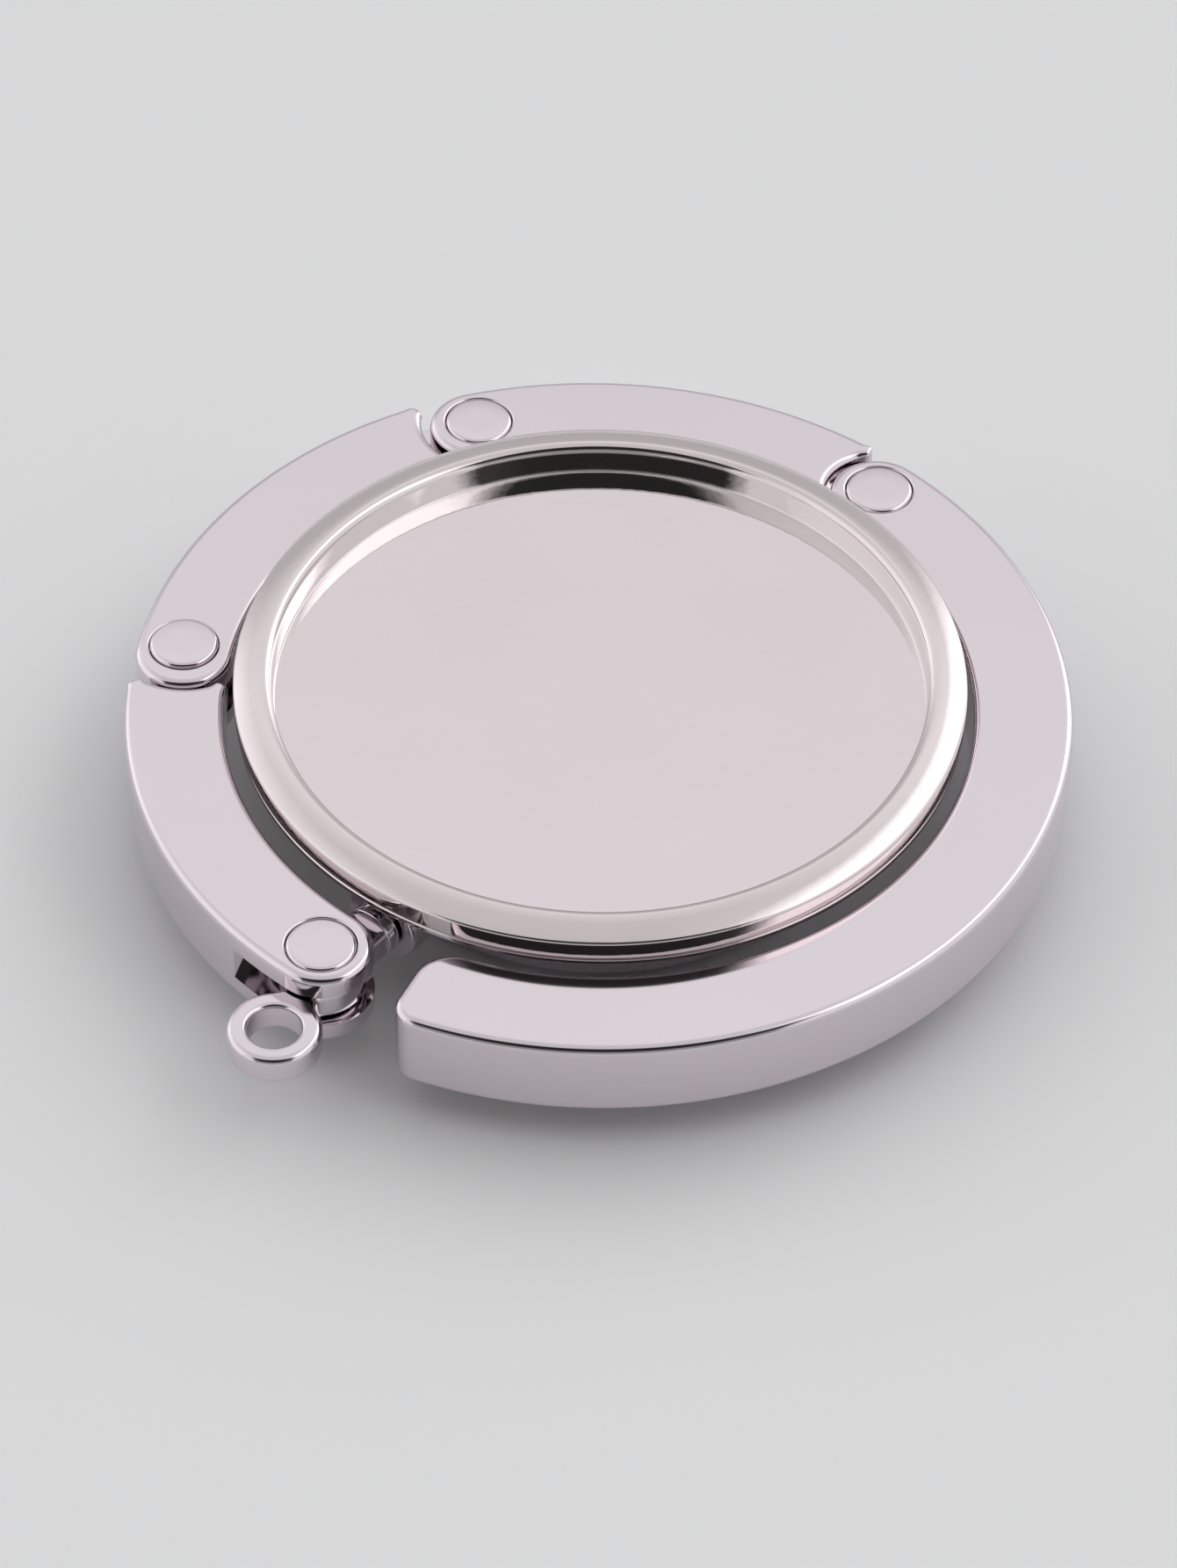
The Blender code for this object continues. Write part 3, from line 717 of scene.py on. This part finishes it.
def tray_section(tray):
    """Half section of the tray: floor, leaning wall, crest, domed rim, side, groove, lip, base."""
    floor = tray_bottom + tray.floor_thickness
    foot = tray.radius - tray.rim_width
    start, end = dome_tilts
    side_x = tray.radius - tray.side_round
    spread = tray.dome_radius - tray.side_round
    dome = (side_x - spread * math.sin(math.radians(end)),
            floor + tray.rim_height - tray.dome_radius * math.cos(math.radians(start)))
    side = (side_x, dome[1] + spread * math.cos(math.radians(end)))
    rise = tray.dome_radius - tray.crest_round
    crest = (dome[0] + rise * math.sin(math.radians(start)),
             dome[1] + rise * math.cos(math.radians(start)))
    lean = math.degrees(math.atan2(crest[0] - tray.crest_round - foot, crest[1] - floor))
    rings = np.linspace(innermost_ring, foot - foot_round, floor_rings)[:-1]
    lip_top = tray_bottom + tray.lip
    return np.concatenate((
        [(0, floor)],
        np.column_stack((rings, np.full(len(rings), floor))),
        bend((foot - foot_round, floor + foot_round), foot_round, 180, 90 + lean, count=7),
        bend(crest, tray.crest_round, lean - 90, start, count=12),
        bend(dome, tray.dome_radius, start, end, count=28)[1:],
        bend(side, tray.side_round, end, 90, count=12)[1:],
        [(tray.radius - depth, lip_top + height) for depth, height in groove_steps],
        disc_side(tray.radius - lip_inset, tray_bottom, lip_top, lip_edge),
        [(0, tray_bottom)]))


def drum_section(base):
    """Half section of the drum: a cup, mouth down, with a seat for the pad."""
    top, radius, low = tray_bottom - running_gap, base.drum_radius, base.pad_stands_out
    seat, seat_height = base.pad_radius + seat_gap, base.pad_thickness + seat_gap
    cavity, ceiling = radius - base.drum_wall, top - base.drum_top
    return np.concatenate((
        [(0, top), (radius / 2, top)],
        disc_side(radius, low, top, drum_edge),
        [(seat, low), (seat, seat_height), (cavity, seat_height), (cavity, ceiling),
         (0, ceiling)]))


def pad_section(base):
    """Half section of the pad: a disc with rounded edges."""
    rings = np.linspace(base.pad_radius - pad_edge, innermost_ring, pad_rings)[1:]
    return np.concatenate((
        [(0, base.pad_thickness)],
        disc_side(base.pad_radius, 0, base.pad_thickness, pad_edge),
        np.column_stack((rings, np.zeros(len(rings)))),
        [(0, 0)]))


def stud_outline(base, ring):
    """The stud in plan along +X, and its eyelet's centre.

    A neck leads to the eye round the first hinge, and waists sweep from there into the eyelet.
    """
    pivot = np.array((np.linalg.norm(pivots[0]), 0.0))
    eyelet = pivot + np.array((base.eyelet_ahead, base.eyelet_aside))
    start = base.boss_reach + seat_gap + base.collar_length / 2
    outer = angle_of(eyelet - pivot)
    lean = math.degrees(math.asin(neck_half / ring.eye_radius))
    right = arc(pivot, ring.eye_radius, 180 + lean, 360 + outer - eye_waist, step=3)
    left = arc(pivot, ring.eye_radius, outer + eye_waist, 180 - lean, step=3)
    round_ring = arc(eyelet, base.eyelet_radius, outer - 180 + eyelet_waist,
                     outer + 180 - eyelet_waist, step=3)
    out_sweep = cubic(right[-1], right[-1] + polar(sweep_pull, outer - eye_waist + 90),
                      round_ring[0] + polar(sweep_pull, outer + eyelet_waist - 270),
                      round_ring[0], count=12)[1:-1]
    in_sweep = cubic(round_ring[-1],
                     round_ring[-1] + polar(sweep_pull, outer - eyelet_waist + 270),
                     left[0] + polar(sweep_pull, outer + eye_waist - 90), left[0], count=12)[1:-1]
    outline = np.concatenate(([(start, -neck_half)], right, out_sweep, round_ring, in_sweep,
                              left, [(start, neck_half)]))
    return outline, eyelet


def eyelet_hole(base, half, centre):
    """A hole with rounded mouths, through a plate of the given half thickness."""
    wide = base.eyelet_hole + eyelet_mouth
    upper = np.concatenate(([(0, half + overrun), (wide, half + overrun)],
                            bend((wide, half - eyelet_mouth), eyelet_mouth, 0, -90, count=9)))
    lower = np.column_stack((upper[::-1, 0], -upper[::-1, 1]))
    section = np.concatenate((upper, lower))
    section[:, 1] += axis_height
    return revolved("eyelet_hole", section, steps=96, centre=centre)


def turned_out(points):
    """Plan points turned from +X to the swivel's direction."""
    points = np.asarray(points)
    x, y = points[..., 0], points[..., 1]
    return np.stack((x * swivel_out[0] - y * swivel_out[1],
                     x * swivel_out[1] + y * swivel_out[0]), axis=-1)


def feed(tree, target, inputs):
    """Fill a node's inputs: a socket is linked, and anything else is a plain value."""
    for name, value in inputs.items():
        if isinstance(value, bpy.types.NodeSocket):
            tree.links.new(value, target.inputs[name])
        else:
            target.inputs[name].default_value = value


def node(tree, kind, inputs=None, **options):
    """A new node with its options set and its inputs filled."""
    made = tree.nodes.new(kind)
    for name, value in options.items():
        setattr(made, name, value)
    feed(tree, made, inputs or {})
    return made


def multiply_add(tree, value, factor, addend):
    """Value times factor plus addend, each a socket or a number."""
    inputs = {0: value, 1: factor, 2: addend}
    return node(tree, "ShaderNodeMath", inputs, operation="MULTIPLY_ADD").outputs[0]


def fill_ramp(ramp, stops):
    """Set a colour ramp's stops, each a position from 0 to 1 and a colour, in rising order."""
    elements = ramp.elements
    elements[0].position, elements[-1].position = stops[0][0], stops[-1][0]
    made = [elements[0], *(elements.new(at) for at, color in stops[1:-1]), elements[-1]]
    for element, (at, color) in zip(made, stops):
        element.color = (*color, 1)


def new_material(name):
    """A node material, its tree and its shader."""
    material = bpy.data.materials.new(name)
    material.use_nodes = True
    return material, material.node_tree, material.node_tree.nodes["Principled BSDF"]


def plating_group():
    """A group that mottles a plated colour, hazes its gloss and waves its surface."""
    name = "Plating detail"
    if name in bpy.data.node_groups:
        return bpy.data.node_groups[name]
    group = bpy.data.node_groups.new(name, "ShaderNodeTree")
    sockets = {"INPUT": {"Vector": "Vector", "Color": "Color", "Roughness": "Float",
                         "Mottle": "Float", "Haze": "Float", "Peel scale": "Float"},
               "OUTPUT": {"Color": "Color", "Roughness": "Float", "Height": "Float"}}
    for way, kinds in sockets.items():
        for label, kind in kinds.items():
            group.interface.new_socket(name=label, in_out=way, socket_type=f"NodeSocket{kind}")
    given = node(group, "NodeGroupInput").outputs
    patches = node(group, "ShaderNodeTexNoise",
                   {"Vector": given["Vector"], "Scale": 130.0, "Detail": 3.0})
    raised = multiply_add(group, patches.outputs["Fac"], given["Mottle"], 1.0)
    level = multiply_add(group, given["Mottle"], -0.5, raised)
    tint = node(group, "ShaderNodeVectorMath", {0: given["Color"], "Scale": level},
                operation="SCALE")
    haze = node(group, "ShaderNodeTexNoise",
                {"Vector": given["Vector"], "Scale": 420.0, "Detail": 4.0})
    rough = multiply_add(group, haze.outputs["Fac"], given["Haze"], given["Roughness"])
    peel = node(group, "ShaderNodeTexNoise",
                {"Vector": given["Vector"], "Scale": given["Peel scale"], "Detail": 1.0})
    node(group, "NodeGroupOutput",
         {"Color": tint.outputs[0], "Roughness": rough, "Height": peel.outputs["Fac"]})
    return group


def plated(name, color, surface):
    """A plated metal with its own mottling, haze and orange peel."""
    material, tree, shader = new_material(name)
    coords = node(tree, "ShaderNodeTexCoord")
    detail = node(tree, "ShaderNodeGroup", {
        "Vector": coords.outputs["Object"], "Color": (*color, 1),
        "Roughness": surface.roughness, "Mottle": surface.mottle, "Haze": surface.haze,
        "Peel scale": surface.peel_scale}, node_tree=plating_group())
    bump = node(tree, "ShaderNodeBump", {
        "Strength": 1.0, "Distance": surface.peel_height, "Height": detail.outputs["Height"]})
    feed(tree, shader, {
        "Metallic": 1.0, "Base Color": detail.outputs["Color"],
        "Roughness": detail.outputs["Roughness"], "Normal": bump.outputs["Normal"]})
    return material


def banded(material, bands):
    """Give a plating rings of colour about the upright axis, each from its own distance outwards.

    The ramp runs over one millimetre, from half a millimetre inside the second ring.
    """
    tree = material.node_tree
    reach = 0.001
    low = bands[1][0] - reach / 2
    coords = tree.nodes["Texture Coordinate"]
    level = node(tree, "ShaderNodeVectorMath", {0: coords.outputs["Object"], 1: (1, 1, 0)},
                 operation="MULTIPLY")
    distance = node(tree, "ShaderNodeVectorMath", {0: level.outputs[0]}, operation="LENGTH")
    along = multiply_add(tree, distance.outputs["Value"], 1 / reach, -low / reach)
    rings = node(tree, "ShaderNodeValToRGB", {"Fac": along})
    rings.color_ramp.interpolation = "CONSTANT"
    fill_ramp(rings.color_ramp, [(max(0, (start - low) / reach), color) for start, color in bands])
    feed(tree, tree.nodes["Group"], {"Color": rings.outputs["Color"]})


def rubber(name, color):
    """Matt rubber with a fine grain."""
    material, tree, shader = new_material(name)
    coords = node(tree, "ShaderNodeTexCoord")
    grain = node(tree, "ShaderNodeTexNoise",
                 {"Vector": coords.outputs["Object"], "Scale": 2600.0})
    lighter = (min(1, part * grain_lighter) for part in color)
    mix = node(tree, "ShaderNodeMix", {
        "Factor": grain.outputs["Fac"], "A": (*color, 1), "B": (*lighter, 1)}, data_type="RGBA")
    bump = node(tree, "ShaderNodeBump", {"Distance": 0.00003, "Height": grain.outputs["Fac"]})
    feed(tree, shader, {"Roughness": 0.75, "Base Color": mix.outputs["Result"],
                        "Normal": bump.outputs["Normal"]})
    return material


class PURSEHOOK_OT_tray(bpy.types.Operator):
    """Turn the tray with its recess, domed rim and lip"""
    bl_idname = "purse_hook.tray"
    bl_label = "Tray"

    def execute(self, context):
        given, finish = settings().tray, settings().finish
        tray = revolved("round_tray", tray_section(given), steps=360)
        metal = plated("Tray plating", finish.tray, tray_surface)
        foot = given.radius - given.rim_width
        # The wall's ring is painted sheen: a whiter colour that stands in for light bouncing round
        # the recess
        banded(metal, ((0, finish.tray), (foot + painted_wall_sheen_band[0], finish.wall),
                       (foot + painted_wall_sheen_band[1], finish.rim)))
        place(polish(tray, metal), "base", "tray")
        return {"FINISHED"}


class PURSEHOOK_OT_base(bpy.types.Operator):
    """Turn the drum with its swivel boss and the non-slip pad"""
    bl_idname = "purse_hook.base"
    bl_label = "Drum and pad"

    def execute(self, context):
        base, finish = settings().base, settings().finish
        metal = plated("Drum plating", finish.plating, drum_surface)
        drum = revolved("drum", drum_section(base), steps=240)
        inside = base.drum_radius - base.drum_wall
        boss = swivel_rod("boss", base.boss_radius, base.drum_radius - base.drum_wall / 2,
                          base.boss_reach, boss_edge)
        combine(drum, boss, "UNION")
        bore = swivel_rod("bore", base.shank_radius + running_gap, inside - overrun,
                          base.boss_reach + overrun, bore_edge)
        combine(drum, bore, "DIFFERENCE")
        place(polish(drum, metal), "base", "base_drum")
        pad = revolved("pad", pad_section(base), steps=240)
        place(polish(pad, rubber("Pad rubber", finish.rubber)), "base", "non_slip_pad")
        washer = frame["nodes"]["swivel_washer"]
        washer.data.materials.clear()
        washer.data.materials.append(metal)
        return {"FINISHED"}


class PURSEHOOK_OT_links(bpy.types.Operator):
    """Make the four hinged links with their forks and tongues"""
    bl_idname = "purse_hook.links"
    bl_label = "Links"

    def execute(self, context):
        given = settings()
        for index, name in enumerate(link_nodes):
            self.make(given, index, name)
        return {"FINISHED"}

    def make(self, given, index, name):
        ring, rivets = given.ring, given.rivets
        link = plate(f"{name}_body", link_outline(index, ring), link_bottom, link_top,
                     ring.edge_round)
        slot = plate("slot", slot_outline(index, ring), link_bottom + ring.plate,
                     link_top - ring.plate)
        combine(link, slot, "DIFFERENCE")
        hole = revolved("hole", rivet_hole_section(rivets), steps=96, centre=pivots[index])
        combine(link, hole, "DIFFERENCE")
        if index < len(link_nodes) - 1:
            half = ring.tongue / 2
            tongue = plate("tongue", tongue_outline(index, ring), axis_height - half,
                           axis_height + half, tongue_edge, steps=3)
            combine(link, tongue, "UNION")
            combine(link, eye_bore(rivets, pivots[index + 1]), "DIFFERENCE")
        surface = link_surface._replace(roughness=given.finish.roughness)
        polish(link, plated(f"{name} plating", given.finish.plating, surface))
        place(link, link_bodies[index], name)


class PURSEHOOK_OT_rivets(bpy.types.Operator):
    """Turn the four hinge rivets"""
    bl_idname = "purse_hook.rivets"
    bl_label = "Rivets"

    def execute(self, context):
        given = settings()
        for index, body in enumerate(link_bodies):
            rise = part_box(f"hinge_rivet_{index + 1}")[1].z - link_top
            rivet = revolved(f"rivet_{index + 1}", rivet_section(given.rivets, rise),
                             steps=128, centre=pivots[index])
            metal = plated(f"Rivet {index + 1} plating", given.finish.plating, small_surface)
            place(polish(rivet, metal), body, f"hinge_rivet_{index + 1}")
        return {"FINISHED"}


class PURSEHOOK_OT_stud(bpy.types.Operator):
    """Make the swivel stud with its eye, eyelet, collar and shank"""
    bl_idname = "purse_hook.stud"
    bl_label = "Swivel stud"

    def execute(self, context):
        given = settings()
        base, half = given.base, given.ring.tongue / 2
        outline, eyelet = stud_outline(base, given.ring)
        stud = plate("stud", turned_out(outline), axis_height - half, axis_height + half,
                     base.stud_round, steps=8)
        combine(stud, eyelet_hole(base, half, turned_out(eyelet)), "DIFFERENCE")
        combine(stud, eye_bore(given.rivets, pivots[0]), "DIFFERENCE")
        combine(stud, laid_along_swivel("rod", stud_rod_section(base)), "UNION")
        polish(stud, plated("Stud plating", given.finish.plating, small_surface))
        place(stud, "stud", "swivel_stud")
        return {"FINISHED"}


def sky_ramp(tree, value, stops):
    """Grey levels of the sky along one direction, whose part from -1 to 1 runs over the ramp."""
    ramp = node(tree, "ShaderNodeValToRGB", {"Fac": multiply_add(tree, value, 0.5, 0.5)})
    fill_ramp(ramp.color_ramp, [((part + 1) / 2, (level,) * 3) for part, level in stops])
    return ramp.outputs["Color"]


def studio_world(context):
    """A soft tent: open and dark high in front, even overhead, brighter behind, dim low all round.

    Its two sides are brighter than the rest, and the right one is the brightest, but not at its
    far end.
    """
    world = bpy.data.worlds.new("Soft studio")
    context.scene.world = world
    world.use_nodes = True
    tree = world.node_tree
    coords = node(tree, "ShaderNodeTexCoord")
    split = node(tree, "ShaderNodeSeparateXYZ", {"Vector": coords.outputs["Generated"]}).outputs
    depth = sky_ramp(tree, split["Y"], (
        (-0.49, 0.012), (-0.43, 0.14), (-0.36, 0.34), (0.3, 0.36), (0.54, 0.42), (0.66, 0.47),
        (0.74, 0.44), (0.87, 0.29), (1.0, 0.27)))
    sides = sky_ramp(tree, split["X"], (
        (-0.82, 0.55), (-0.66, 0.46), (-0.44, 0.36), (0.12, 0.36), (0.36, 0.4), (0.56, 0.84),
        (0.7, 0.82), (0.79, 0.4)))
    low = sky_ramp(tree, split["Z"], ((0.3, 0.06), (0.52, 0.0)))
    aside = sky_ramp(tree, split["X"], (
        (-0.65, 0.16), (-0.56, 0.0), (0.56, 0.0), (0.65, 0.16)))
    light = node(tree, "ShaderNodeVectorMath", {0: depth, 1: sides}, operation="MULTIPLY")
    for fill in (low, aside):
        light = node(tree, "ShaderNodeVectorMath", {0: light.outputs[0], 1: fill},
                     operation="MAXIMUM")
    feed(tree, tree.nodes["Background"], {"Color": light.outputs[0], "Strength": 5.8})


class PURSEHOOK_OT_stage(bpy.types.Operator):
    """Lay the floor, set the soft light and aim the camera"""
    bl_idname = "purse_hook.stage"
    bl_label = "Stage"

    def execute(self, context):
        given = settings().stage
        corners = [(x * floor_reach, y * floor_reach, 0)
                   for x, y in ((-1, -1), (1, -1), (1, 1), (-1, 1))]
        floor = new_mesh("floor", corners, [(0, 1, 2, 3)])
        material, tree, shader = new_material("Pale floor")
        feed(tree, shader, {"Base Color": (*given.floor, 1), "Roughness": 0.55})
        floor.data.materials.append(material)
        studio_world(context)
        self.aim(context, given)
        context.scene.view_settings.view_transform = "Standard"
        return {"FINISHED"}

    def aim(self, context, given):
        """The camera looks along +Y, down at the elevation, with its measured roll."""
        data = bpy.data.cameras.new("photo camera")
        data.sensor_width = 36.0
        data.lens = given.focal / photo_height * data.sensor_width
        data.clip_start, data.clip_end = 0.01, 20.0
        camera = bpy.data.objects.new("photo camera", data)
        context.scene.collection.objects.link(camera)
        rise, roll = given.elevation, given.roll
        right, up = Vector((1, 0, 0)), Vector((0, math.sin(rise), math.cos(rise)))
        ahead = Vector((0, math.cos(rise), -math.sin(rise)))
        turned_right = right * math.cos(roll) + up * math.sin(roll)
        turned_up = up * math.cos(roll) - right * math.sin(roll)
        target = Vector((*look_at, link_top))
        turn = Matrix((turned_right, turned_up, -ahead)).transposed()
        camera.matrix_world = Matrix.Translation(target - ahead * given.distance) @ turn.to_4x4()
        context.scene.camera = camera


class PURSEHOOK_PT_panel(bpy.types.Panel):
    """The purse hook's pieces"""
    bl_idname = "PURSEHOOK_PT_panel"
    bl_label = "Purse Hook"
    bl_space_type = "VIEW_3D"
    bl_region_type = "UI"
    bl_category = "Purse Hook"

    def draw(self, context):
        for operator in operators:
            self.layout.operator(operator.bl_idname)


operators = (PURSEHOOK_OT_tray, PURSEHOOK_OT_base, PURSEHOOK_OT_links, PURSEHOOK_OT_rivets,
             PURSEHOOK_OT_stud, PURSEHOOK_OT_stage)
classes = (PurseHookRing, PurseHookRivets, PurseHookTray, PurseHookBase, PurseHookFinish,
           PurseHookStage, PurseHookSettings, *operators, PURSEHOOK_PT_panel)


def register():
    for item in classes:
        bpy.utils.register_class(item)
    bpy.types.Scene.purse_hook = PointerProperty(type=PurseHookSettings)


def unregister():
    del bpy.types.Scene.purse_hook
    for item in reversed(classes):
        bpy.utils.unregister_class(item)


def main():
    register()
    bpy.ops.purse_hook.tray()
    bpy.ops.purse_hook.base()
    bpy.ops.purse_hook.links()
    bpy.ops.purse_hook.rivets()
    bpy.ops.purse_hook.stud()
    bpy.ops.purse_hook.stage()


if __name__ == "__main__":
    main()
